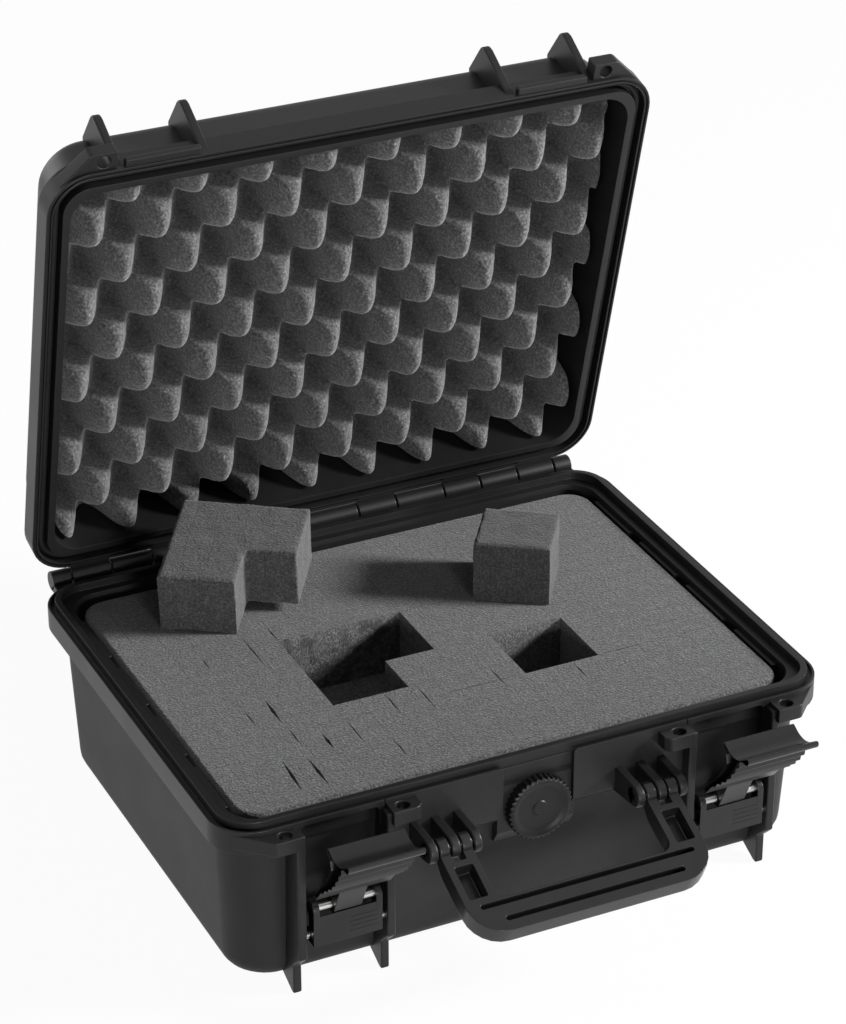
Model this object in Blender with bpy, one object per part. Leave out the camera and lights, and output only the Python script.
# Shockproof carrying case with hinged lid, two latches, folding handle, pressure valve and foam lining.
# Metres, +Z up, +X along the hinge, -Y towards the latches.
# The base's flat underside is z = 0 and its feet reach below it.
# The lid is shown open, turned about the hinge axis by LID_OPEN_ANGLE.

import math

import bmesh
import bpy
from mathutils import Matrix, Vector

# General
CLEARANCE = 0.0003
OVERRUN = 0.004
EMBED = 0.002
EDGE_CHAMFER = 0.0006
MERGE_DISTANCE = 0.00003
CORNER_STEPS = 6
ROUND_STEPS = 4

# Rim shared by base and lid
FLANGE_WIDTH = 0.336
FLANGE_DEPTH = 0.262
FLANGE_CORNER = 0.023
FLANGE_SKIRT = 0.013
RIM_GAP = 0.0003
TONGUE_INSET = 0.004
TONGUE_WIDTH = 0.004
TONGUE_HEIGHT = 0.003
TONGUE_SIDE_GAP = 0.0006
LEDGE_DROP = 0.001
GROOVE_INSET = 0.0015
GROOVE_DEPTH = 0.002
INNER_INSET = 0.0125
INNER_CORNER = 0.016
INNER_DRAFT = 0.002

# Base
FOOT_HEIGHT = 0.004
BASE_HEIGHT = 0.097
BODY_INSET = 0.007
BODY_DRAFT = 0.003
BODY_CORNER = 0.024
BODY_ROUNDING = 0.010
FLOOR_THICKNESS = 0.0038
FLOOR_ROUNDING = 0.003
FOOT_RADIUS = 0.007
FOOT_BACK_INSET = 0.033

# Front panels and the valve's recess
PANEL_HALF_WIDTH = 0.0835
PANEL_HEIGHT = 0.029
PANEL_SLOPE = 0.007
RECESS_HALF_WIDTH = 0.0195
RECESS_DEPTH = 0.0027
RECESS_HEIGHT = 0.040

# Lid
LID_HEIGHT = 0.047
LID_TOP_THICKNESS = 0.0042
LID_ROUNDING = 0.010
LID_INNER_ROUNDING = 0.005
LID_BAND_INSET = 0.012
LID_BAND_HEIGHT = 0.0012
LID_OPEN_ANGLE = math.radians(75.6)

# Hinge
HINGE_REACH = 0.007
HINGE_RADIUS = 0.0055
HINGE_PIN_RADIUS = 0.0020
HINGE_BORE_GAP = 0.0004
HINGE_GAP = 0.0004
# Ends of the knuckles, as shares of half the flange's width
KNUCKLE_SHARES = (0.139, 0.279, 0.454, 0.590, 0.730, 0.867, 0.935)
WEB_REACH = 0.0032

# Latches
LATCH_SHARE = 0.64
RIB_INNER = 0.0215
RIB_THICKNESS = 0.0045
RIB_REACH = 0.007
RIB_TOP_DROP = 0.004
RIB_CHAMFER_TOP = 0.021
RIB_CHAMFER = 0.008
FIN_DEPTH = 0.016
LUG_LENGTH = 0.0145
LUG_REACH = 0.0095
LUG_HEIGHT = 0.008
LUG_DROP = 0.0022
LUG_HOLE_OFFSET = 0.031
LUG_HOLE_REACH = 0.0043
LUG_HOLE_RADIUS = 0.0035
LATCH_SLOT_DEPTH = 0.005
LATCH_SLOT_TOP_DROP = 0.003
LEVER_PIN_REACH = 0.0035
LEVER_PIN_Z = 0.0475
LEVER_PIN_RADIUS = 0.00225
LINK_PIN_REACH = 0.0015
LINK_PIN_Z = 0.0315
LINK_PIN_RADIUS = 0.0020
PIN_BORE_GAP = 0.0004
PIN_SEAT_DEPTH = 0.002
LEVER_HALF_WIDTH = 0.0200
LEVER_TAB_HALF_WIDTH = 0.0075
LEVER_TAB_SHARE = 0.26
LEVER_HUB_RADIUS = 0.0045
LINK_HALF_WIDTH = 0.0185
LINK_EAR_WIDTH = 0.0035
LINK_EAR_RADIUS = 0.0045
LINK_HUB_RADIUS = 0.0042
LINK_FRONT = 0.0042
LINK_BACK = 0.0006
LINK_BOTTOM = 0.0045
LINK_CRADLE_GAP = 0.0005
LEVER_CLOSE_ANGLE = math.radians(28.5)
LEVER_LENGTH = 0.072
LEVER_DEPTH = 0.0190
# Closed section of the lever from its pin: (share of depth outwards, share of length upwards)
LEVER_SECTION_SHARES = (
    (0.17, 0.225), (0.27, 0.35), (0.48, 0.50), (0.66, 0.66), (0.73, 0.88), (0.96, 0.94), (0.985, 0.975),
    (0.94, 1.0), (0.80, 0.975), (0.66, 0.90), (0.43, 0.846), (0.16, 0.818), (-0.085, 0.814), (-0.137, 0.794),
    (-0.10, 0.769), (0.16, 0.756), (0.33, 0.708), (0.28, 0.52), (0.11, 0.32), (0.03, 0.225),
)
CATCH_REACH = 0.004
CATCH_TOP = 0.0045
CATCH_BOTTOM = 0.001
LID_FIN_OFFSET = 0.023
LID_FIN_THICKNESS = 0.0045
LID_FIN_REACH = 0.0085
LID_FIN_TIP_Z = 0.0335
LID_FIN_ROOT_Z = 0.003

# Handle
HANDLE_X = 0.057
HANDLE_REACH = 0.019
HANDLE_Z = 0.074
HANDLE_DROOP = math.radians(24.0)
HANDLE_TOP = 0.0015
HANDLE_THICKNESS = 0.012
HANDLE_HALF_WIDTH = 0.0658
HANDLE_ARM_WIDTH = 0.0176
HANDLE_GRIP_NEAR = 0.035
HANDLE_GRIP_WIDTH = 0.0185
HANDLE_OUTER_CORNER = 0.018
HANDLE_INNER_CORNER = 0.006
HANDLE_HUB_RADIUS = 0.0055
HANDLE_PIN_RADIUS = 0.0020
HANDLE_BEVEL = 0.0012
FORK_HALF_WIDTH = 0.0033
FORK_REACH = 0.0095
CENTRE_EAR_HALF = 0.0025
SIDE_EAR_WIDTH = 0.0045
EAR_GAP = 0.0008
EAR_RADIUS = 0.006
EAR_DROP = 0.009
WINDOW_NEAR = 0.013
WINDOW_FAR = 0.032
WINDOW_HALF_WIDTH = 0.005
WINDOW_DEPTH = 0.008
SLOT_WIDTH = 0.0026
SLOT_DEPTH = 0.006
SLOT_PLACES = ((0.0375, 0.0585), (0.0466, 0.0490))

# Pressure valve
VALVE_Z = 0.0695
VALVE_STEM_RADIUS = 0.007
VALVE_STEM_GAP = 0.0004
VALVE_SOCKET_RADIUS = 0.0048
VALVE_SOCKET_DEPTH = 0.006
VALVE_COLLAR_RADIUS = 0.011
VALVE_COLLAR_THICKNESS = 0.002
VALVE_KNOB_RADIUS = 0.0175
VALVE_KNOB_THICKNESS = 0.0058
VALVE_KNOB_STEM_RADIUS = 0.0044
VALVE_STEM_END_GAP = 0.001
VALVE_KNURL_DEPTH = 0.0008
VALVE_FACE_SHARE = 0.82
VALVE_KNURL_COUNT = 36
VALVE_SEAL_RADIUS = 0.0009
VALVE_SEAL_GROOVE = 0.0025
VALVE_SEAL_WIDTH = 0.0028
VALVE_NUT_RADIUS = 0.0105
VALVE_NUT_THICKNESS = 0.0026
VALVE_MEMBRANE_THICKNESS = 0.0010
VALVE_BREATHER_RADIUS = 0.0030

# Seal in the lid's channel
SEAL_RADIUS = 0.0015
CHANNEL_HEIGHT = 0.0066
LIP_GROOVE_INSET = 0.0013
LIP_GROOVE_WIDTH = 0.0010
LIP_GROOVE_DEPTH = 0.0012

# Foam
FOAM_SIDE_GAP = 0.0025
FOAM_END_GAP = 0.0035
FOAM_CORNER = 0.014
FOAM_TOP_DROP = 0.0032
CUBED_LAYER = 0.035
MIDDLE_LAYER = 0.035
CUBE = 0.014
PAD_INSET = 0.002
L_HOLE_X = -0.069
L_HOLE_Y = -0.037
L_CUBES = 5
L_NOTCH_CUBES = 2
SQUARE_HOLE_X = 0.0333
SQUARE_HOLE_Y = -0.0513
SQUARE_CUBES = 3
BLOCK_TRIM = 0.0006
L_BLOCK_SIDE_INSET = 0.0310
L_BLOCK_BACK_INSET = 0.0415
L_BLOCK_TURN = math.radians(-34)
L_BLOCK_TILT = math.radians(7.5)
SQUARE_BLOCK_X = 0.0703
SQUARE_BLOCK_Y = 0.0327
SQUARE_BLOCK_TURN = math.radians(-34.5)
LID_FOAM_GAP = 0.0045
LID_FOAM_TOP_GAP = 0.0005
LID_FOAM_BASE = 0.0115
LID_FOAM_WAVE = 0.0265
LID_FOAM_CELL_X = 0.01767
LID_FOAM_CELL_Y = 0.0251
LID_FOAM_SHIFT_X = 0.00922
LID_FOAM_SHIFT_Y = -0.02122
LID_FOAM_STEPS = 3
LID_FOAM_BULGE_SHARES = (0.9, 0.35)
LID_FOAM_SLANT_SHARES = (0.0347, -0.0154)
LID_FOAM_BOW_SHARES = (0.0229, 0.0356)

# Rails on the inner side walls
RAIL_REACH = 0.0030
RAIL_HEIGHT = 0.004
RAIL_LENGTH = 0.040
RAIL_PITCH = 0.052
RAIL_COUNT = 4
RAIL_DROP = 0.004

PARTING_Z = BASE_HEIGHT
HALF_WIDTH = FLANGE_WIDTH / 2
FOOT_BOTTOM = -FOOT_HEIGHT
LID_BOTTOM = PARTING_Z + RIM_GAP
LID_TOP = PARTING_Z + LID_HEIGHT
FLANGE_FRONT = -FLANGE_DEPTH / 2
FLANGE_BACK = FLANGE_DEPTH / 2
LATCH_X = HALF_WIDTH * LATCH_SHARE
FOOT_Y = FLANGE_BACK - FOOT_BACK_INSET
KNUCKLE_ENDS = tuple(HALF_WIDTH * share for share in KNUCKLE_SHARES)
INNER_LOW_INSET = INNER_INSET + INNER_DRAFT
FOAM_WIDTH = FLANGE_WIDTH - 2 * (INNER_LOW_INSET + FOAM_SIDE_GAP)
FOAM_DEPTH = FLANGE_DEPTH - 2 * (INNER_LOW_INSET + FOAM_END_GAP)
LID_FOAM_WIDTH = FLANGE_WIDTH - 2 * (INNER_LOW_INSET + LID_FOAM_GAP)
LID_FOAM_DEPTH = FLANGE_DEPTH - 2 * (INNER_LOW_INSET + LID_FOAM_GAP)
L_BLOCK_X = L_BLOCK_SIDE_INSET - FOAM_WIDTH / 2
L_BLOCK_Y = FOAM_DEPTH / 2 - L_BLOCK_BACK_INSET
HINGE_Y = FLANGE_BACK + HINGE_REACH
HINGE_Z = PARTING_Z
BODY_FRONT = FLANGE_FRONT + BODY_INSET
RECESS_FRONT = FLANGE_FRONT + RECESS_DEPTH
INNER_FRONT = FLANGE_FRONT + INNER_INSET
VALVE_SEAT_Y = INNER_FRONT + INNER_DRAFT
EMBED_FRONT = BODY_FRONT + EMBED
FLOOR_Z = FLOOR_THICKNESS
FOAM_TOP = PARTING_Z - FOAM_TOP_DROP
PIN_Y = FLANGE_FRONT - LEVER_PIN_REACH
LINK_PIN_Y = FLANGE_FRONT - LINK_PIN_REACH
HANDLE_Y = FLANGE_FRONT - HANDLE_REACH
RIB_FRONT = FLANGE_FRONT - RIB_REACH
RIB_OUTER = RIB_INNER + RIB_THICKNESS


# Scene and materials

def clear_scene():
    for item in list(bpy.data.objects):
        bpy.data.objects.remove(item, do_unlink=True)


def make_collection(name):
    collection = bpy.data.collections.new(name)
    bpy.context.scene.collection.children.link(collection)
    return collection


def plain_material(name, colour, roughness, metallic=0.0):
    material = bpy.data.materials.new(name)
    material.use_nodes = True
    shader = material.node_tree.nodes["Principled BSDF"]
    shader.inputs["Base Color"].default_value = (*colour, 1.0)
    shader.inputs["Roughness"].default_value = roughness
    shader.inputs["Metallic"].default_value = metallic
    return material


def polypropylene(name):
    return plain_material(name + "_polypropylene", (0.012, 0.012, 0.013), 0.5)


def foam_material(name):
    return plain_material(name + "_foam", (0.045, 0.045, 0.047), 0.95)


def steel(name):
    return plain_material(name + "_steel", (0.62, 0.62, 0.63), 0.25, 1.0)


def rubber(name):
    return plain_material(name + "_rubber", (0.008, 0.008, 0.008), 0.7)


def membrane_material(name):
    return plain_material(name + "_membrane", (0.8, 0.8, 0.8), 0.6)


# Mesh helpers

def add_object(name, bm, collection, material=None):
    bmesh.ops.recalc_face_normals(bm, faces=bm.faces)
    mesh = bpy.data.meshes.new(name)
    bm.to_mesh(mesh)
    bm.free()
    item = bpy.data.objects.new(name, mesh)
    collection.objects.link(item)
    if material:
        mesh.materials.append(material)
        mesh.shade_smooth()
        mesh.set_sharp_from_angle(angle=math.radians(35))
    return item


def add_cutter(name, bm):
    item = add_object(name, bm, CUTTERS)
    item.hide_render = True
    item.display_type = "WIRE"
    return item


def join_and_cut(target, joined, cut, kept=()):
    # Unions every piece in joined, takes away every piece in cut, then keeps what lies in kept
    for operation, pieces in (("UNION", joined), ("DIFFERENCE", cut), ("INTERSECT", kept)):
        if not pieces:
            continue
        group = make_collection("%s_%s_%d" % (target.name, operation.lower(), len(target.modifiers)))
        for piece in pieces:
            CUTTERS.objects.unlink(piece)
            group.objects.link(piece)
        modifier = target.modifiers.new(operation.title(), "BOOLEAN")
        modifier.operation = operation
        modifier.operand_type = "COLLECTION"
        modifier.collection = group
        modifier.solver = "EXACT"
        modifier.use_self = True


def box(low, high):
    bm = bmesh.new()
    size = Vector(high) - Vector(low)
    bmesh.ops.create_cube(bm, size=1.0)
    bmesh.ops.scale(bm, vec=size, verts=bm.verts)
    bmesh.ops.translate(bm, vec=(Vector(high) + Vector(low)) / 2, verts=bm.verts)
    return bm


def rod(radius, start, end, sides):
    # Straight cylinder between two points
    start, end = Vector(start), Vector(end)
    axis = end - start
    bm = bmesh.new()
    bmesh.ops.create_cone(bm, cap_ends=True, segments=sides, radius1=radius, radius2=radius,
                          depth=axis.length)
    turn = axis.to_track_quat("Z", "Y").to_matrix().to_4x4()
    bmesh.ops.transform(bm, matrix=Matrix.Translation((start + end) / 2) @ turn, verts=bm.verts)
    return bm


def rod_along_x(radius, low, high, y, z, sides=12):
    return rod(radius, (low, y, z), (high, y, z), sides)


def valve_rod(radius, low, high, sides=24):
    # Cylinder on the valve's axis, which runs along Y
    return rod(radius, (0, low, VALVE_Z), (0, high, VALVE_Z), sides)


def prism(outline, axis, low, high):
    # Flat outline pushed from low to high along X or Z
    bm = bmesh.new()
    if axis == "X":
        points = [Vector((low, a, b)) for a, b in outline]
        push = Vector((high - low, 0, 0))
    else:
        points = [Vector((a, b, low)) for a, b in outline]
        push = Vector((0, 0, high - low))
    face = bm.faces.new([bm.verts.new(point) for point in points])
    pushed = bmesh.ops.extrude_face_region(bm, geom=[face])
    verts = [item for item in pushed["geom"] if isinstance(item, bmesh.types.BMVert)]
    bmesh.ops.translate(bm, vec=push, verts=verts)
    return bm


def arc(centre, radius, start, end, steps):
    # Points on an arc in a plane, angles in degrees
    points = []
    for step in range(steps + 1):
        angle = math.radians(start + (end - start) * step / steps)
        points.append((centre[0] + radius * math.cos(angle), centre[1] + radius * math.sin(angle)))
    return points


def rounded_rectangle(half_x, half_y, radius, steps=CORNER_STEPS):
    points = []
    for quarter, (sx, sy) in enumerate(((1, 1), (-1, 1), (-1, -1), (1, -1))):
        centre = (sx * (half_x - radius), sy * (half_y - radius))
        points += arc(centre, radius, 90 * quarter, 90 * quarter + 90, steps)
    return points


def swept_shell(sections):
    # Closed shell lofted through rounded rectangles: (inset from the flange, height, corner radius)
    bm = bmesh.new()
    previous = None
    for inset, height, radius in sections:
        outline = rounded_rectangle(FLANGE_WIDTH / 2 - inset, FLANGE_DEPTH / 2 - inset, radius)
        ring = [bm.verts.new((x, y, height)) for x, y in outline]
        if previous is None:
            bm.faces.new(ring)
        else:
            for index in range(len(ring)):
                after = (index + 1) % len(ring)
                bm.faces.new((previous[index], previous[after], ring[after], ring[index]))
        previous = ring
    bm.faces.new(previous)
    return bm


def slab(width, depth, corner, low, high):
    return prism(rounded_rectangle(width / 2, depth / 2, corner), "Z", low, high)


def place_on_axis(item, empty, local):
    # Puts a mesh drawn in the case's frame under an empty on its joint's axis
    local = local.copy()
    item.data.transform(Matrix.Translation(-local))
    item.parent = empty
    for modifier in item.modifiers:
        if modifier.type == "BOOLEAN":
            for piece in modifier.collection.objects:
                piece.data.transform(Matrix.Translation(-local))
                piece.parent = empty


def axis_empty(name, place, turn, parent=None):
    empty = bpy.data.objects.new(name, None)
    PARTS.objects.link(empty)
    empty.location = place
    empty.rotation_euler = (turn, 0, 0)
    if parent:
        empty.parent = parent
    return empty


# Base shell

def base_sections():
    wall_top = PARTING_Z - FLANGE_SKIRT
    wall_low_inset = BODY_INSET + BODY_DRAFT
    sections = []
    for step in range(ROUND_STEPS + 1):
        angle = math.pi / 2 * step / ROUND_STEPS
        shift = BODY_ROUNDING * (1 - math.sin(angle))
        lift = BODY_ROUNDING * (1 - math.cos(angle))
        sections.append((wall_low_inset + shift, lift, BODY_CORNER - shift))
    tongue_top = PARTING_Z + TONGUE_HEIGHT
    tongue_far = TONGUE_INSET + TONGUE_WIDTH
    ledge = PARTING_Z - LEDGE_DROP
    low_inset = INNER_LOW_INSET
    sections += [
        (BODY_INSET, wall_top, BODY_CORNER),
        (EDGE_CHAMFER, wall_top, FLANGE_CORNER),
        (0, wall_top + EDGE_CHAMFER, FLANGE_CORNER),
        (0, PARTING_Z - EDGE_CHAMFER, FLANGE_CORNER),
        (EDGE_CHAMFER, PARTING_Z, FLANGE_CORNER),
        (GROOVE_INSET, PARTING_Z, FLANGE_CORNER - GROOVE_INSET),
        (GROOVE_INSET, PARTING_Z - GROOVE_DEPTH, FLANGE_CORNER - GROOVE_INSET),
        (TONGUE_INSET, PARTING_Z - GROOVE_DEPTH, FLANGE_CORNER - TONGUE_INSET),
        (TONGUE_INSET, tongue_top - EDGE_CHAMFER, FLANGE_CORNER - TONGUE_INSET),
        (TONGUE_INSET + EDGE_CHAMFER, tongue_top, FLANGE_CORNER - TONGUE_INSET),
        (tongue_far - EDGE_CHAMFER, tongue_top, FLANGE_CORNER - tongue_far + EDGE_CHAMFER),
        (tongue_far, tongue_top - EDGE_CHAMFER, FLANGE_CORNER - tongue_far),
        (tongue_far, ledge, FLANGE_CORNER - tongue_far),
        (INNER_INSET - EDGE_CHAMFER, ledge, INNER_CORNER),
        (INNER_INSET, ledge - EDGE_CHAMFER, INNER_CORNER),
        (low_inset, FLOOR_Z + FLOOR_ROUNDING, INNER_CORNER),
        (low_inset + FLOOR_ROUNDING, FLOOR_Z, INNER_CORNER),
    ]
    return sections


def rib_outline():
    # Latch rib with its chamfer and the foot fin below, as (y, z)
    chamfer_y = RIB_FRONT + RIB_CHAMFER
    top = PARTING_Z - RIB_TOP_DROP
    return (
        (EMBED_FRONT, PARTING_Z - FLANGE_SKIRT + EMBED), (FLANGE_FRONT + EMBED, top),
        (RIB_FRONT + EDGE_CHAMFER, top), (RIB_FRONT, top - EDGE_CHAMFER),
        (RIB_FRONT, RIB_CHAMFER_TOP), (chamfer_y, RIB_CHAMFER_TOP - RIB_CHAMFER),
        (chamfer_y, FOOT_BOTTOM + EDGE_CHAMFER), (chamfer_y + EDGE_CHAMFER, FOOT_BOTTOM),
        (chamfer_y + EMBED, FOOT_BOTTOM),
        (chamfer_y + FIN_DEPTH, EMBED), (chamfer_y + FIN_DEPTH, EMBED + EDGE_CHAMFER),
        (BODY_FRONT + BODY_DRAFT + EMBED, BODY_ROUNDING),
    )


def padlock_lug(centre, hand, low, high):
    # Lug beside a latch for a padlock. The one on the case's outer side runs out to the flange's corner
    inner = centre + hand * (RIB_OUTER - EMBED)
    back = FLANGE_FRONT + EMBED
    front = FLANGE_FRONT - LUG_REACH
    if hand * centre > 0:
        # the slanting side touches the flange's round corner half way round
        swing = FLANGE_CORNER * math.sqrt(0.5)
        touch_x, touch_y = HALF_WIDTH - FLANGE_CORNER + swing, FLANGE_FRONT + FLANGE_CORNER - swing
        far_x = touch_x + front - touch_y
        outline = ((inner, back), (inner, front), (hand * far_x, front), (hand * touch_x, touch_y),
                   (hand * (touch_x - EMBED), touch_y + EMBED), (hand * (HALF_WIDTH - FLANGE_CORNER), back))
    else:
        outer = centre + hand * (RIB_OUTER + LUG_LENGTH)
        outline = ((inner, back), (inner, front), (outer - hand * EMBED, front), (outer, front + EMBED),
                   (outer, back))
    return prism(outline, "Z", low, high)


def padlock_hole(centre, hand, low, high):
    x = centre + hand * LUG_HOLE_OFFSET
    y = FLANGE_FRONT - LUG_HOLE_REACH
    return rod(LUG_HOLE_RADIUS, (x, y, low - OVERRUN), (x, y, high + OVERRUN), 16)


def knuckle_spans(own):
    # X spans of the hinge knuckles of base ("base") or lid ("lid"), which take turns
    spans = []
    if own == "base":
        spans.append((-KNUCKLE_ENDS[0], KNUCKLE_ENDS[0]))
    for index in range(len(KNUCKLE_ENDS) - 1):
        if (index % 2 == 1) == (own == "base"):
            low, high = KNUCKLE_ENDS[index], KNUCKLE_ENDS[index + 1]
            spans += [(low, high), (-high, -low)]
    return [(low + HINGE_GAP, high - HINGE_GAP) for low, high in spans]


def knuckles(own):
    # Barrels and webs of one side of the hinge
    pieces = []
    flange_y = FLANGE_BACK - EMBED
    outer = HINGE_RADIUS - EDGE_CHAMFER
    if own == "base":
        near, far = HINGE_Z - RIM_GAP, HINGE_Z - outer
    else:
        near, far = HINGE_Z + RIM_GAP + RIM_GAP, HINGE_Z + outer
    web = ((flange_y, near), (flange_y, far), (HINGE_Y - EDGE_CHAMFER, far), (HINGE_Y - WEB_REACH, near))
    for start, end in knuckle_spans(own):
        name = "%s_knuckle_%d" % (own, round(start / CLEARANCE))
        pieces.append(add_cutter(name, rod_along_x(HINGE_RADIUS, start, end, HINGE_Y, HINGE_Z, 16)))
        pieces.append(add_cutter(name + "_web", prism(web, "X", start, end)))
    return pieces


def hinge_bore(name):
    reach = KNUCKLE_ENDS[-1] + OVERRUN
    radius = HINGE_PIN_RADIUS + HINGE_BORE_GAP
    return add_cutter(name, rod_along_x(radius, -reach, reach, HINGE_Y, HINGE_Z))


def ear_spans():
    # X spans of the three ears that carry one handle arm, for the right side
    arm_low = HANDLE_HALF_WIDTH - HANDLE_ARM_WIDTH
    return (
        (arm_low - EAR_GAP - SIDE_EAR_WIDTH, arm_low - EAR_GAP),
        (HANDLE_X - CENTRE_EAR_HALF, HANDLE_X + CENTRE_EAR_HALF),
        (HANDLE_HALF_WIDTH + EAR_GAP, HANDLE_HALF_WIDTH + EAR_GAP + SIDE_EAR_WIDTH),
    )


def handle_ears(side):
    pieces = []
    back = FLANGE_FRONT + EMBED
    outline = [(back, HANDLE_Z + EAR_RADIUS)]
    outline += arc((HANDLE_Y, HANDLE_Z), EAR_RADIUS, 90, 270, 8)
    outline += [(BODY_FRONT + EMBED, HANDLE_Z - EAR_DROP)]
    for index, (low, high) in enumerate(ear_spans()):
        start, end = sorted((side * low, side * high))
        pieces.append(add_cutter("ear_%d_%d" % (side, index), prism(outline, "X", start, end)))
    return pieces


def front_panels():
    # Raised panels under the front flange, with the valve's recess between them
    pieces = []
    back = BODY_FRONT + EMBED
    low = PARTING_Z - PANEL_HEIGHT
    panel = ((back, PARTING_Z - FLANGE_SKIRT + EMBED), (FLANGE_FRONT, PARTING_Z - FLANGE_SKIRT + EMBED),
             (FLANGE_FRONT, low), (BODY_FRONT, low - PANEL_SLOPE), (back, low - PANEL_SLOPE))
    for side in (-1, 1):
        start, end = sorted((side * RECESS_HALF_WIDTH, side * PANEL_HALF_WIDTH))
        pieces.append(add_cutter("panel_%d" % side, prism(panel, "X", start, end)))
    low = PARTING_Z - RECESS_HEIGHT
    middle = ((back, PARTING_Z - FLANGE_SKIRT + EMBED), (RECESS_FRONT, PARTING_Z - FLANGE_SKIRT + EMBED),
              (RECESS_FRONT, low), (BODY_FRONT, low - PANEL_SLOPE), (back, low - PANEL_SLOPE))
    reach = RECESS_HALF_WIDTH + EMBED
    pieces.append(add_cutter("recess_floor", prism(middle, "X", -reach, reach)))
    return pieces


def side_rails():
    pieces = []
    top = PARTING_Z - RAIL_DROP
    for side in (-1, 1):
        wall = side * (FLANGE_WIDTH / 2 - INNER_INSET)
        for index in range(RAIL_COUNT):
            middle = RAIL_PITCH * (index - (RAIL_COUNT - 1) / 2)
            x = sorted((wall - side * RAIL_REACH, wall + side * EMBED))
            low = (x[0], middle - RAIL_LENGTH / 2, top - RAIL_HEIGHT)
            high = (x[1], middle + RAIL_LENGTH / 2, top)
            pieces.append(add_cutter("rail_%d_%d" % (side, index), box(low, high)))
    return pieces


def make_base_shell():
    shell = add_object("base_shell", swept_shell(base_sections()), PARTS, polypropylene("base_shell"))
    joined = knuckles("base") + front_panels() + side_rails()
    cut = [hinge_bore("base_hinge_bore")]
    for side in (-1, 1):
        centre = side * LATCH_X
        joined += handle_ears(side)
        for hand in (-1, 1):
            tag = "_%d_%d" % (side, hand)
            x = sorted((centre + hand * RIB_INNER, centre + hand * RIB_OUTER))
            joined.append(add_cutter("rib" + tag, prism(rib_outline(), "X", *x)))
            high = PARTING_Z - LUG_DROP
            lug = padlock_lug(centre, hand, high - LUG_HEIGHT, high)
            joined.append(add_cutter("lug" + tag, lug))
            cut.append(add_cutter("lug_hole" + tag, padlock_hole(centre, hand, high - LUG_HEIGHT, high)))
        foot = rod(FOOT_RADIUS, (centre, FOOT_Y, FOOT_BOTTOM), (centre, FOOT_Y, EMBED), 16)
        joined.append(add_cutter("rear_foot_%d" % side, foot))
        slot_half = RIB_INNER - EDGE_CHAMFER
        slot_low = PARTING_Z - FLANGE_SKIRT - OVERRUN
        slot_high = PARTING_Z - LATCH_SLOT_TOP_DROP
        slot = box((centre - slot_half, FLANGE_FRONT - EDGE_CHAMFER, slot_low),
                   (centre + slot_half, FLANGE_FRONT + LATCH_SLOT_DEPTH, slot_high))
        cut.append(add_cutter("latch_slot_%d" % side, slot))
        seat = RIB_INNER + PIN_SEAT_DEPTH + CLEARANCE
        radius = LINK_PIN_RADIUS + PIN_BORE_GAP
        bore = rod_along_x(radius, centre - seat, centre + seat, LINK_PIN_Y, LINK_PIN_Z)
        cut.append(add_cutter("link_pin_bore_%d" % side, bore))
        low, high = handle_pin_span(side)
        radius = HANDLE_PIN_RADIUS + PIN_BORE_GAP
        bore = rod_along_x(radius, low - CLEARANCE, high + CLEARANCE, HANDLE_Y, HANDLE_Z)
        cut.append(add_cutter("handle_pin_bore_%d" % side, bore))
    reach = RECESS_HALF_WIDTH
    recess = box((-reach, FLANGE_FRONT - OVERRUN, PARTING_Z - PANEL_HEIGHT - PANEL_SLOPE - OVERRUN),
                 (reach, RECESS_FRONT, PARTING_Z + OVERRUN))
    cut.append(add_cutter("valve_recess", recess))
    y_low, y_high = RECESS_FRONT - OVERRUN, VALVE_SEAT_Y + OVERRUN
    boss = valve_rod(VALVE_NUT_RADIUS + EMBED, INNER_FRONT - EMBED, VALVE_SEAT_Y)
    joined.append(add_cutter("valve_boss", boss))
    bore = valve_rod(VALVE_STEM_RADIUS + VALVE_STEM_GAP, y_low, y_high)
    cut.append(add_cutter("valve_bore", bore))
    groove = valve_rod(VALVE_STEM_RADIUS + VALVE_SEAL_WIDTH, y_low, RECESS_FRONT + VALVE_SEAL_GROOVE)
    cut.append(add_cutter("valve_seal_groove", groove))
    join_and_cut(shell, joined, cut)
    return shell


# Lid shell, drawn closed

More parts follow.
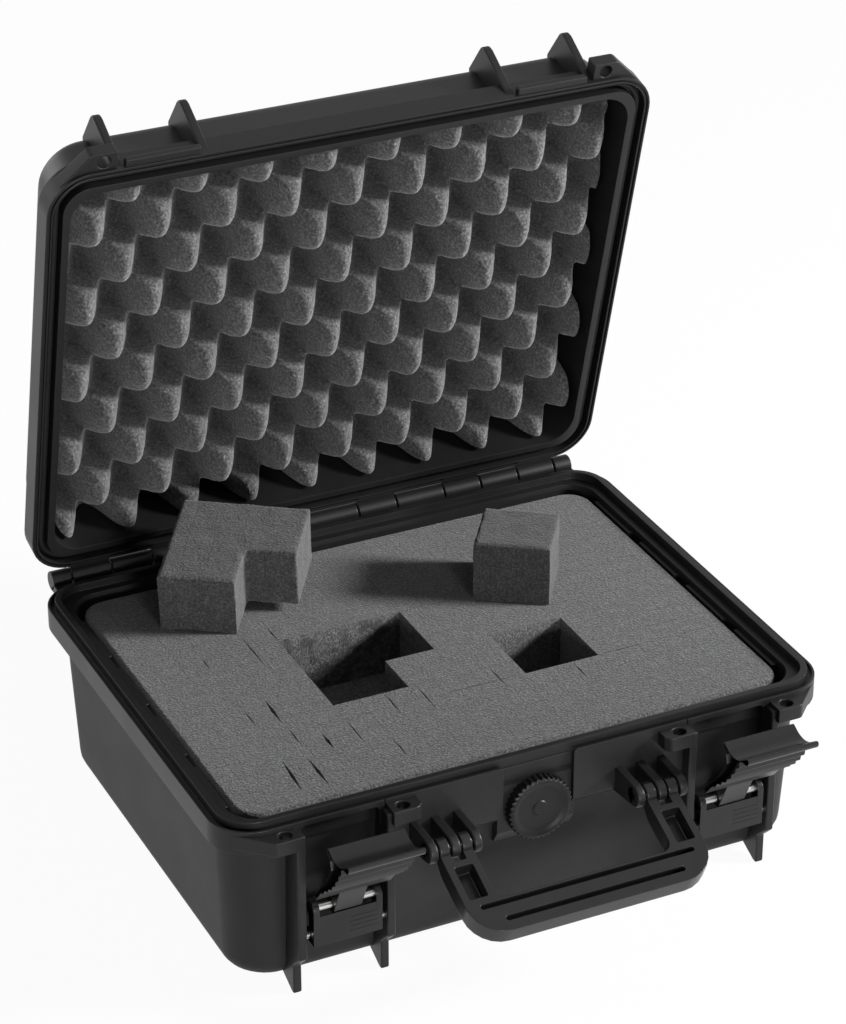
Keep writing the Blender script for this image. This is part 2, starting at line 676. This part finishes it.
def lid_sections():
    ceiling = LID_TOP - LID_TOP_THICKNESS
    low_inset = INNER_LOW_INSET
    sections = []
    for step in range(ROUND_STEPS + 1):
        angle = math.pi / 2 * step / ROUND_STEPS
        shift = LID_INNER_ROUNDING * (1 - math.sin(angle))
        drop = LID_INNER_ROUNDING * (1 - math.cos(angle))
        sections.append((low_inset + shift, ceiling - drop, INNER_CORNER - shift))
    channel_far = TONGUE_INSET + TONGUE_WIDTH + TONGUE_SIDE_GAP
    channel_near = TONGUE_INSET - TONGUE_SIDE_GAP
    groove_far = LIP_GROOVE_INSET + LIP_GROOVE_WIDTH
    channel_top = PARTING_Z + CHANNEL_HEIGHT
    sections += [
        (INNER_INSET, LID_BOTTOM + EDGE_CHAMFER, INNER_CORNER),
        (INNER_INSET - EDGE_CHAMFER, LID_BOTTOM, INNER_CORNER),
        (channel_far, LID_BOTTOM, FLANGE_CORNER - channel_far),
        (channel_far, channel_top, FLANGE_CORNER - channel_far),
        (channel_near, channel_top, FLANGE_CORNER - channel_near),
        (channel_near, LID_BOTTOM, FLANGE_CORNER - channel_near),
        (groove_far, LID_BOTTOM, FLANGE_CORNER - groove_far),
        (groove_far, LID_BOTTOM + LIP_GROOVE_DEPTH, FLANGE_CORNER - groove_far),
        (LIP_GROOVE_INSET, LID_BOTTOM + LIP_GROOVE_DEPTH, FLANGE_CORNER - LIP_GROOVE_INSET),
        (LIP_GROOVE_INSET, LID_BOTTOM, FLANGE_CORNER - LIP_GROOVE_INSET),
        (EDGE_CHAMFER, LID_BOTTOM, FLANGE_CORNER),
        (0, LID_BOTTOM + EDGE_CHAMFER, FLANGE_CORNER),
        (0, PARTING_Z + FLANGE_SKIRT - EDGE_CHAMFER, FLANGE_CORNER),
        (EDGE_CHAMFER, PARTING_Z + FLANGE_SKIRT, FLANGE_CORNER),
        (BODY_INSET, PARTING_Z + FLANGE_SKIRT, BODY_CORNER),
    ]
    for step in range(ROUND_STEPS + 1):
        angle = math.pi / 2 * (1 - step / ROUND_STEPS)
        shift = LID_ROUNDING * (1 - math.sin(angle))
        drop = LID_ROUNDING * (1 - math.cos(angle))
        sections.append((BODY_INSET + BODY_DRAFT + shift, LID_TOP - drop, BODY_CORNER - shift))
    band = BODY_INSET + BODY_DRAFT + LID_ROUNDING + LID_BAND_INSET
    band_corner = BODY_CORNER - LID_ROUNDING
    sections += [
        (band, LID_TOP, band_corner),
        (band + LID_BAND_HEIGHT, LID_TOP + LID_BAND_HEIGHT, band_corner),
    ]
    return sections


def lid_fin_outline():
    tip_y = FLANGE_FRONT - LID_FIN_REACH
    tip_z = PARTING_Z + LID_FIN_TIP_Z
    root_z = PARTING_Z + LID_FIN_ROOT_Z
    back = FLANGE_FRONT + LID_ROUNDING + EMBED
    over_channel = PARTING_Z + CHANNEL_HEIGHT + EMBED
    return (
        (back, over_channel), (FLANGE_FRONT + EMBED, over_channel), (FLANGE_FRONT + EMBED, root_z),
        (FLANGE_FRONT, root_z), (tip_y, tip_z - EMBED), (tip_y, tip_z + EMBED),
        (tip_y + EMBED, tip_z + EMBED + EMBED), (back + EMBED, LID_TOP - EDGE_CHAMFER),
        (back + LID_ROUNDING - EMBED, LID_TOP - LID_TOP_THICKNESS / 2), (back, LID_TOP - LID_ROUNDING),
    )


def make_lid_shell():
    shell = add_object("lid_shell", swept_shell(lid_sections()), PARTS, polypropylene("lid_shell"))
    joined = knuckles("lid")
    cut = [hinge_bore("lid_hinge_bore")]
    for side in (-1, 1):
        centre = side * LATCH_X
        catch = box((centre - LEVER_HALF_WIDTH, FLANGE_FRONT - CATCH_REACH, PARTING_Z + CATCH_BOTTOM),
                    (centre + LEVER_HALF_WIDTH, FLANGE_FRONT + EDGE_CHAMFER, PARTING_Z + CATCH_TOP))
        joined.append(add_cutter("lid_catch_%d" % side, catch))
        for hand in (-1, 1):
            tag = "_%d_%d" % (side, hand)
            middle = centre + hand * LID_FIN_OFFSET
            half = LID_FIN_THICKNESS / 2
            fin = prism(lid_fin_outline(), "X", middle - half, middle + half)
            joined.append(add_cutter("lid_fin" + tag, fin))
        low = PARTING_Z + LUG_DROP
        high = low + LUG_HEIGHT
        joined.append(add_cutter("lid_lug_%d" % side, padlock_lug(centre, side, low, high)))
        cut.append(add_cutter("lid_lug_hole_%d" % side, padlock_hole(centre, side, low, high)))
    join_and_cut(shell, joined, cut)
    return shell


def make_lid_seal():
    # Round cord that fills the lid's channel above the tongue
    inset = TONGUE_INSET + TONGUE_WIDTH / 2
    outline = rounded_rectangle(FLANGE_WIDTH / 2 - inset, FLANGE_DEPTH / 2 - inset, FLANGE_CORNER - inset)
    curve = bpy.data.curves.new("lid_seal", "CURVE")
    curve.dimensions = "3D"
    curve.bevel_depth = SEAL_RADIUS
    curve.bevel_resolution = 2
    spline = curve.splines.new("POLY")
    spline.points.add(len(outline) - 1)
    height = PARTING_Z + CHANNEL_HEIGHT - SEAL_RADIUS - CLEARANCE
    for point, (x, y) in zip(spline.points, outline):
        point.co = (x, y, height, 1)
    spline.use_cyclic_u = True
    draft = bpy.data.objects.new("lid_seal_curve", curve)
    PARTS.objects.link(draft)
    bpy.context.view_layer.update()
    evaluated = draft.evaluated_get(bpy.context.evaluated_depsgraph_get())
    mesh = bpy.data.meshes.new_from_object(evaluated)
    bpy.data.objects.remove(draft, do_unlink=True)
    bm = bmesh.new()
    bm.from_mesh(mesh)
    bmesh.ops.remove_doubles(bm, verts=bm.verts, dist=MERGE_DISTANCE)
    return add_object("lid_seal", bm, PARTS, rubber("lid_seal"))


def make_hinge_pin():
    reach = KNUCKLE_ENDS[-1] - HINGE_GAP
    bm = rod_along_x(HINGE_PIN_RADIUS, -reach, reach, HINGE_Y, HINGE_Z)
    return add_object("hinge_pin", bm, PARTS, steel("hinge_pin"))


# Latches

def lever_section():
    # Closed outline of the lever's hooked plate, as (y, z)
    return [(PIN_Y - LEVER_DEPTH * out, LEVER_PIN_Z + LEVER_LENGTH * up) for out, up in LEVER_SECTION_SHARES]


def make_lever(side, name):
    centre = side * LATCH_X
    bm = prism(lever_section(), "X", centre - LEVER_HALF_WIDTH, centre + LEVER_HALF_WIDTH)
    lever = add_object(name, bm, PARTS, polypropylene(name))
    low, high = centre - LEVER_TAB_HALF_WIDTH, centre + LEVER_TAB_HALF_WIDTH
    hub = rod_along_x(LEVER_HUB_RADIUS, low, high, PIN_Y, LEVER_PIN_Z, 16)
    tab_front = PIN_Y - LEVER_HUB_RADIUS
    tab_top = LEVER_PIN_Z + LEVER_LENGTH * LEVER_TAB_SHARE
    tab = ((tab_front, LEVER_PIN_Z), (PIN_Y, LEVER_PIN_Z),
           (PIN_Y - EMBED, tab_top), (tab_front + EDGE_CHAMFER + EDGE_CHAMFER, tab_top))
    joined = [add_cutter(name + "_hub", hub), add_cutter(name + "_tab", prism(tab, "X", low, high))]
    bore = rod_along_x(LEVER_PIN_RADIUS + PIN_BORE_GAP, low - OVERRUN, high + OVERRUN, PIN_Y, LEVER_PIN_Z)
    join_and_cut(lever, joined, [add_cutter(name + "_bore", bore)])
    return lever


def make_link(side, name):
    # Plate between the ribs that carries the lever's pin in two ears
    centre = side * LATCH_X
    low, high = centre - LINK_HALF_WIDTH, centre + LINK_HALF_WIDTH
    front = PIN_Y - LINK_FRONT
    back = PIN_Y - LINK_BACK
    bottom = LINK_PIN_Z - LINK_BOTTOM
    cradle = LEVER_HUB_RADIUS + LINK_CRADLE_GAP
    start = 180 + math.degrees(math.acos(LINK_BACK / cradle))
    end = 180 + math.degrees(math.acos(LINK_FRONT / cradle))
    plate = [(front, bottom), (LINK_PIN_Y, bottom + EDGE_CHAMFER), (LINK_PIN_Y, LINK_PIN_Z),
             (back, LINK_PIN_Z + EMBED)]
    plate += arc((PIN_Y, LEVER_PIN_Z), cradle, start, end, ROUND_STEPS)
    link = add_object(name, prism(plate, "X", low, high), PARTS, polypropylene(name))
    hub = rod_along_x(LINK_HUB_RADIUS, low, high, LINK_PIN_Y, LINK_PIN_Z, 16)
    joined = [add_cutter(name + "_hub", hub)]
    for hand in (-1, 1):
        x = sorted((centre + hand * LINK_HALF_WIDTH, centre + hand * (LINK_HALF_WIDTH - LINK_EAR_WIDTH)))
        ear = rod_along_x(LINK_EAR_RADIUS, x[0], x[1], PIN_Y, LEVER_PIN_Z, 16)
        joined.append(add_cutter("%s_ear_%d" % (name, hand), ear))
        neck_low = LEVER_PIN_Z - cradle - EMBED - EMBED
        neck = ((front, neck_low), (PIN_Y + EMBED, neck_low),
                (PIN_Y + EMBED, LEVER_PIN_Z), (PIN_Y - LINK_EAR_RADIUS, LEVER_PIN_Z))
        joined.append(add_cutter("%s_neck_%d" % (name, hand), prism(neck, "X", *x)))
    low, high = low - OVERRUN, high + OVERRUN
    pin_bore = rod_along_x(LINK_PIN_RADIUS + PIN_BORE_GAP, low, high, LINK_PIN_Y, LINK_PIN_Z)
    lever_bore = rod_along_x(LEVER_PIN_RADIUS + PIN_BORE_GAP, low, high, PIN_Y, LEVER_PIN_Z)
    join_and_cut(link, joined, [add_cutter(name + "_pin_bore", pin_bore),
                                add_cutter(name + "_lever_bore", lever_bore)])
    return link


def make_latch(side, hand_name):
    centre = side * LATCH_X
    prefix = "latch_%s_" % hand_name
    link_axis = axis_empty(prefix + "link_axis", (centre, LINK_PIN_Y, LINK_PIN_Z), 0)
    lever_place = Vector((centre, PIN_Y, LEVER_PIN_Z))
    offset = lever_place - link_axis.location
    lever_axis = axis_empty(prefix + "lever_axis", offset, LEVER_CLOSE_ANGLE, link_axis)
    place_on_axis(make_link(side, prefix + "link"), link_axis, link_axis.location)
    place_on_axis(make_lever(side, prefix + "lever"), lever_axis, lever_place)
    reach = LINK_HALF_WIDTH
    bm = rod_along_x(LEVER_PIN_RADIUS, centre - reach, centre + reach, PIN_Y, LEVER_PIN_Z)
    pin = add_object(prefix + "lever_pin", bm, PARTS, steel(prefix + "lever_pin"))
    place_on_axis(pin, link_axis, link_axis.location)
    reach = RIB_INNER + PIN_SEAT_DEPTH
    bm = rod_along_x(LINK_PIN_RADIUS, centre - reach, centre + reach, LINK_PIN_Y, LINK_PIN_Z)
    add_object(prefix + "link_pin", bm, PARTS, steel(prefix + "link_pin"))


# Handle, drawn level and hung on its axis

def handle_pin_span(side):
    spans = ear_spans()
    return tuple(sorted((side * spans[0][0], side * spans[2][1])))


def handle_outline():
    # U shape from above: arms run from the axis to the grip, as (x, y)
    outer, inner = HANDLE_HALF_WIDTH, HANDLE_HALF_WIDTH - HANDLE_ARM_WIDTH
    near = HANDLE_Y - HANDLE_GRIP_NEAR
    far = near - HANDLE_GRIP_WIDTH
    wide, tight = HANDLE_OUTER_CORNER, HANDLE_INNER_CORNER
    points = [(outer, HANDLE_Y)]
    points += arc((outer - wide, far + wide), wide, 0, -90, CORNER_STEPS)
    points += arc((wide - outer, far + wide), wide, -90, -180, CORNER_STEPS)
    points += [(-outer, HANDLE_Y), (-inner, HANDLE_Y)]
    points += arc((tight - inner, near + tight), tight, 180, 270, ROUND_STEPS)
    points += arc((inner - tight, near + tight), tight, 270, 360, ROUND_STEPS)
    points += [(inner, HANDLE_Y)]
    return points


def make_handle():
    top = HANDLE_Z + HANDLE_TOP
    bottom = top - HANDLE_THICKNESS
    bm = prism(handle_outline(), "Z", bottom, top)
    lower = [edge for edge in bm.edges if all(vert.co.z < top - EDGE_CHAMFER for vert in edge.verts)]
    bmesh.ops.bevel(bm, geom=lower, offset=HANDLE_BEVEL, offset_type="OFFSET", segments=2, profile=0.5,
                    affect="EDGES", material=-1)
    handle = add_object("handle", bm, PARTS, polypropylene("handle"))
    joined, cut = [], []
    for side in (-1, 1):
        middle = side * HANDLE_X
        low, high = sorted((side * HANDLE_HALF_WIDTH, side * (HANDLE_HALF_WIDTH - HANDLE_ARM_WIDTH)))
        hub = rod_along_x(HANDLE_HUB_RADIUS, low, high, HANDLE_Y, HANDLE_Z, 16)
        joined.append(add_cutter("handle_hub_%d" % side, hub))
        corner = box((low - OVERRUN, HANDLE_Y - HANDLE_HUB_RADIUS, bottom - OVERRUN),
                     (high + OVERRUN, HANDLE_Y + OVERRUN, HANDLE_Z - HANDLE_HUB_RADIUS))
        cut.append(add_cutter("handle_heel_%d" % side, corner))
        past_hub = HANDLE_HUB_RADIUS + OVERRUN
        fork = box((middle - FORK_HALF_WIDTH, HANDLE_Y - FORK_REACH, bottom - OVERRUN),
                   (middle + FORK_HALF_WIDTH, HANDLE_Y + past_hub, HANDLE_Z + past_hub))
        cut.append(add_cutter("handle_fork_%d" % side, fork))
        radius = HANDLE_PIN_RADIUS + PIN_BORE_GAP
        bore = rod_along_x(radius, low - OVERRUN, high + OVERRUN, HANDLE_Y, HANDLE_Z)
        cut.append(add_cutter("handle_bore_%d" % side, bore))
        window = box((middle - WINDOW_HALF_WIDTH, HANDLE_Y - WINDOW_FAR, top - WINDOW_DEPTH),
                     (middle + WINDOW_HALF_WIDTH, HANDLE_Y - WINDOW_NEAR, top + OVERRUN))
        cut.append(add_cutter("handle_window_%d" % side, window))
    for index, (distance, half) in enumerate(SLOT_PLACES):
        y = HANDLE_Y - distance
        slot = box((-half, y - SLOT_WIDTH / 2, top - SLOT_DEPTH),
                   (half, y + SLOT_WIDTH / 2, top + OVERRUN))
        cut.append(add_cutter("handle_slot_%d" % index, slot))
    join_and_cut(handle, joined, cut)
    axis = axis_empty("handle_axis", (0, HANDLE_Y, HANDLE_Z), HANDLE_DROOP)
    place_on_axis(handle, axis, axis.location)
    for side, hand_name in ((-1, "left"), (1, "right")):
        low, high = handle_pin_span(side)
        name = "handle_pin_" + hand_name
        bm = rod_along_x(HANDLE_PIN_RADIUS, low, high, HANDLE_Y, HANDLE_Z)
        add_object(name, bm, PARTS, steel(name))


# Pressure valve, stacked along Y through the front wall

def collar_front():
    return RECESS_FRONT - CLEARANCE - VALVE_COLLAR_THICKNESS


def make_valve_body():
    start = collar_front()
    end = VALVE_SEAT_Y + CLEARANCE + VALVE_NUT_THICKNESS
    past = end + OVERRUN
    stem = valve_rod(VALVE_STEM_RADIUS, start, end)
    body = add_object("valve_body", stem, PARTS, polypropylene("valve_body"))
    collar = valve_rod(VALVE_COLLAR_RADIUS, start, RECESS_FRONT - CLEARANCE)
    socket = valve_rod(VALVE_SOCKET_RADIUS, start - OVERRUN, start + VALVE_SOCKET_DEPTH)
    breather = valve_rod(VALVE_BREATHER_RADIUS, start, past, 16)
    seat = valve_rod(VALVE_SOCKET_RADIUS, end - VALVE_NUT_THICKNESS, past)
    cut = [add_cutter("valve_socket", socket), add_cutter("valve_breather", breather),
           add_cutter("valve_seat", seat)]
    join_and_cut(body, [add_cutter("valve_collar", collar)], cut)


def make_valve_knob():
    # Knurled cap over the collar, with a short stem in the body's socket
    back = RECESS_FRONT - CLEARANCE
    front = back - VALVE_KNOB_THICKNESS
    points = []
    for index in range(VALVE_KNURL_COUNT * 2):
        angle = math.pi * index / VALVE_KNURL_COUNT
        radius = VALVE_KNOB_RADIUS - (VALVE_KNURL_DEPTH if index % 2 else 0)
        points.append((radius * math.cos(angle), radius * math.sin(angle)))
    bm = prism(points, "Z", 0, VALVE_KNOB_THICKNESS)
    bmesh.ops.rotate(bm, cent=(0, 0, 0), matrix=Matrix.Rotation(math.pi / 2, 3, "X"), verts=bm.verts)
    bmesh.ops.translate(bm, vec=(0, back, VALVE_Z), verts=bm.verts)
    knob = add_object("valve_knob", bm, PARTS, polypropylene("valve_knob"))
    hollow = valve_rod(VALVE_COLLAR_RADIUS + VALVE_STEM_GAP, collar_front() - CLEARANCE, back + OVERRUN)
    face = front + VALVE_KNURL_DEPTH
    rim = valve_rod(VALVE_KNOB_RADIUS * VALVE_FACE_SHARE, front - OVERRUN, face, 32)
    join_and_cut(knob, [], [add_cutter("knob_hollow", hollow), add_cutter("knob_face", rim)])
    stem_end = collar_front() + VALVE_SOCKET_DEPTH - VALVE_STEM_END_GAP
    stem = valve_rod(VALVE_KNOB_STEM_RADIUS, face + EDGE_CHAMFER, stem_end)
    join_and_cut(knob, [add_cutter("knob_stem", stem)], [])
    axis = axis_empty("valve_axis", (0, back, VALVE_Z), 0)
    place_on_axis(knob, axis, axis.location)


def make_valve_fittings():
    ring = bmesh.new()
    middle = VALVE_STEM_RADIUS + VALVE_SEAL_WIDTH / 2
    circle = bmesh.ops.create_circle(ring, segments=10, radius=VALVE_SEAL_RADIUS)
    upright = Matrix.Rotation(math.pi / 2, 3, "X")
    bmesh.ops.rotate(ring, cent=(0, 0, 0), matrix=upright, verts=circle["verts"])
    bmesh.ops.translate(ring, vec=(middle, 0, 0), verts=circle["verts"])
    bmesh.ops.spin(ring, geom=ring.verts[:] + ring.edges[:], cent=(0, 0, 0), axis=(0, 0, 1),
                   angle=math.tau, steps=28, use_merge=True)
    bmesh.ops.remove_doubles(ring, verts=ring.verts, dist=MERGE_DISTANCE)
    bmesh.ops.rotate(ring, cent=(0, 0, 0), matrix=upright, verts=ring.verts)
    place = (0, RECESS_FRONT + VALVE_SEAL_GROOVE - VALVE_SEAL_RADIUS - CLEARANCE, VALVE_Z)
    bmesh.ops.translate(ring, vec=place, verts=ring.verts)
    add_object("valve_o_ring", ring, PARTS, rubber("valve_o_ring"))
    start = VALVE_SEAT_Y + CLEARANCE
    end = start + VALVE_NUT_THICKNESS
    hexagon = valve_rod(VALVE_NUT_RADIUS, start, end, 6)
    nut = add_object("valve_nut", hexagon, PARTS, polypropylene("valve_nut"))
    bore = valve_rod(VALVE_STEM_RADIUS + VALVE_STEM_GAP, start - OVERRUN, end + OVERRUN)
    join_and_cut(nut, [], [add_cutter("nut_bore", bore)])
    start += CLEARANCE
    disc = valve_rod(VALVE_SOCKET_RADIUS - CLEARANCE, start, start + VALVE_MEMBRANE_THICKNESS)
    add_object("valve_membrane", disc, PARTS, membrane_material("valve_membrane"))


# Foam

def make_base_foam():
    middle_top = FOAM_TOP - CUBED_LAYER - CLEARANCE
    middle_low = middle_top - MIDDLE_LAYER
    pad_low = FLOOR_Z + CLEARANCE
    layer = slab(FOAM_WIDTH, FOAM_DEPTH, FOAM_CORNER, FOAM_TOP - CUBED_LAYER, FOAM_TOP)
    cubed = add_object("foam_cubed_layer", layer, PARTS, foam_material("foam_cubed_layer"))
    low, high = FOAM_TOP - CUBED_LAYER - OVERRUN, FOAM_TOP + OVERRUN
    l_hole = prism(l_outline(L_HOLE_X, L_HOLE_Y, CUBE * L_CUBES, CUBE * L_NOTCH_CUBES), "Z", low, high)
    side = CUBE * SQUARE_CUBES
    square_hole = box((SQUARE_HOLE_X, SQUARE_HOLE_Y, low),
                      (SQUARE_HOLE_X + side, SQUARE_HOLE_Y + side, high))
    join_and_cut(cubed, [], [add_cutter("l_hole", l_hole), add_cutter("square_hole", square_hole)])
    layer = slab(FOAM_WIDTH, FOAM_DEPTH, FOAM_CORNER, middle_low, middle_top)
    add_object("foam_middle_layer", layer, PARTS, foam_material("foam_middle_layer"))
    trim = PAD_INSET * 2
    pad = slab(FOAM_WIDTH - trim, FOAM_DEPTH - trim, FOAM_CORNER, pad_low, middle_low - CLEARANCE)
    add_object("foam_bottom_pad", pad, PARTS, foam_material("foam_bottom_pad"))


def l_outline(x, y, side, notch):
    # Square with its front right corner left out
    return ((x, y), (x + side - notch, y), (x + side - notch, y + notch), (x + side, y + notch),
            (x + side, y + side), (x, y + side))


def make_foam_blocks():
    # Plucked blocks lying on the cubed layer
    side = CUBE * L_CUBES - BLOCK_TRIM
    notch = CUBE * L_NOTCH_CUBES
    block = add_object("foam_l_block", prism(l_outline(0, 0, side, notch), "Z", 0, CUBED_LAYER - BLOCK_TRIM),
                       PARTS, foam_material("foam_l_block"))
    turn = Matrix.Rotation(L_BLOCK_TURN, 4, "Z") @ Matrix.Rotation(L_BLOCK_TILT, 4, "X")
    block.matrix_world = Matrix.Translation((L_BLOCK_X, L_BLOCK_Y, FOAM_TOP + CLEARANCE)) @ turn
    side = CUBE * SQUARE_CUBES - BLOCK_TRIM
    half = side / 2
    block = add_object("foam_square_block", box((-half, -half, 0), (half, half, CUBED_LAYER - BLOCK_TRIM)),
                       PARTS, foam_material("foam_square_block"))
    block.location = (SQUARE_BLOCK_X, SQUARE_BLOCK_Y, FOAM_TOP + CLEARANCE)
    block.rotation_euler = (0, 0, SQUARE_BLOCK_TURN)


def make_lid_foam():
    # Egg-crate sheet: crests and hollows take turns like a chessboard, back glued to the lid's ceiling
    top = LID_TOP - LID_TOP_THICKNESS - LID_FOAM_TOP_GAP
    width, depth = LID_FOAM_WIDTH + EMBED + EMBED, LID_FOAM_DEPTH + EMBED + EMBED
    steps_x = round(width / LID_FOAM_CELL_X * LID_FOAM_STEPS)
    steps_y = round(depth / LID_FOAM_CELL_Y * LID_FOAM_STEPS)
    bm = bmesh.new()
    bmesh.ops.create_grid(bm, x_segments=steps_x, y_segments=steps_y, size=0.5)
    bmesh.ops.scale(bm, vec=(width, depth, 1), verts=bm.verts)
    share_x, share_y = LID_FOAM_BULGE_SHARES
    slant_x, slant_y = LID_FOAM_SLANT_SHARES
    bow_x, bow_y = LID_FOAM_BOW_SHARES
    for vert in bm.verts:
        # the soft sheet was glued in a little askew, and its rows bend
        x, y = vert.co.x, vert.co.y
        bend = x * x / LID_FOAM_WIDTH
        across = math.sin(math.pi * (x + slant_x * y + bow_x * bend - LID_FOAM_SHIFT_X) / LID_FOAM_CELL_X)
        along = math.sin(math.pi * (y + slant_y * x + bow_y * bend - LID_FOAM_SHIFT_Y) / LID_FOAM_CELL_Y)
        bulge = math.copysign(abs(across) ** share_x * abs(along) ** share_y, across * along)
        vert.co.z = top - LID_FOAM_BASE - LID_FOAM_WAVE * (0.5 + bulge / 2)
    rim = [edge for edge in bm.edges if edge.is_boundary]
    pushed = bmesh.ops.extrude_edge_only(bm, edges=rim)["geom"]
    for vert in (item for item in pushed if isinstance(item, bmesh.types.BMVert)):
        vert.co.z = top
    back = [item for item in pushed if isinstance(item, bmesh.types.BMEdge)]
    bmesh.ops.contextual_create(bm, geom=back)
    bmesh.ops.triangulate(bm, faces=bm.faces)
    foam = add_object("lid_foam", bm, PARTS, foam_material("lid_foam"))
    outline = slab(LID_FOAM_WIDTH, LID_FOAM_DEPTH, FOAM_CORNER, PARTING_Z, LID_TOP)
    join_and_cut(foam, [], [], [add_cutter("lid_foam_outline", outline)])
    return foam


def make_lid():
    lid_axis = axis_empty("lid_axis", (0, HINGE_Y, HINGE_Z), -LID_OPEN_ANGLE)
    for item in (make_lid_shell(), make_lid_seal(), make_lid_foam()):
        place_on_axis(item, lid_axis, lid_axis.location)


clear_scene()
PARTS = make_collection("shockproof_case")
CUTTERS = make_collection("cutters")
make_base_shell()
make_lid()
make_hinge_pin()
make_latch(-1, "left")
make_latch(1, "right")
make_handle()
make_valve_body()
make_valve_knob()
make_valve_fittings()
make_base_foam()
make_foam_blocks()
bpy.context.view_layer.update()
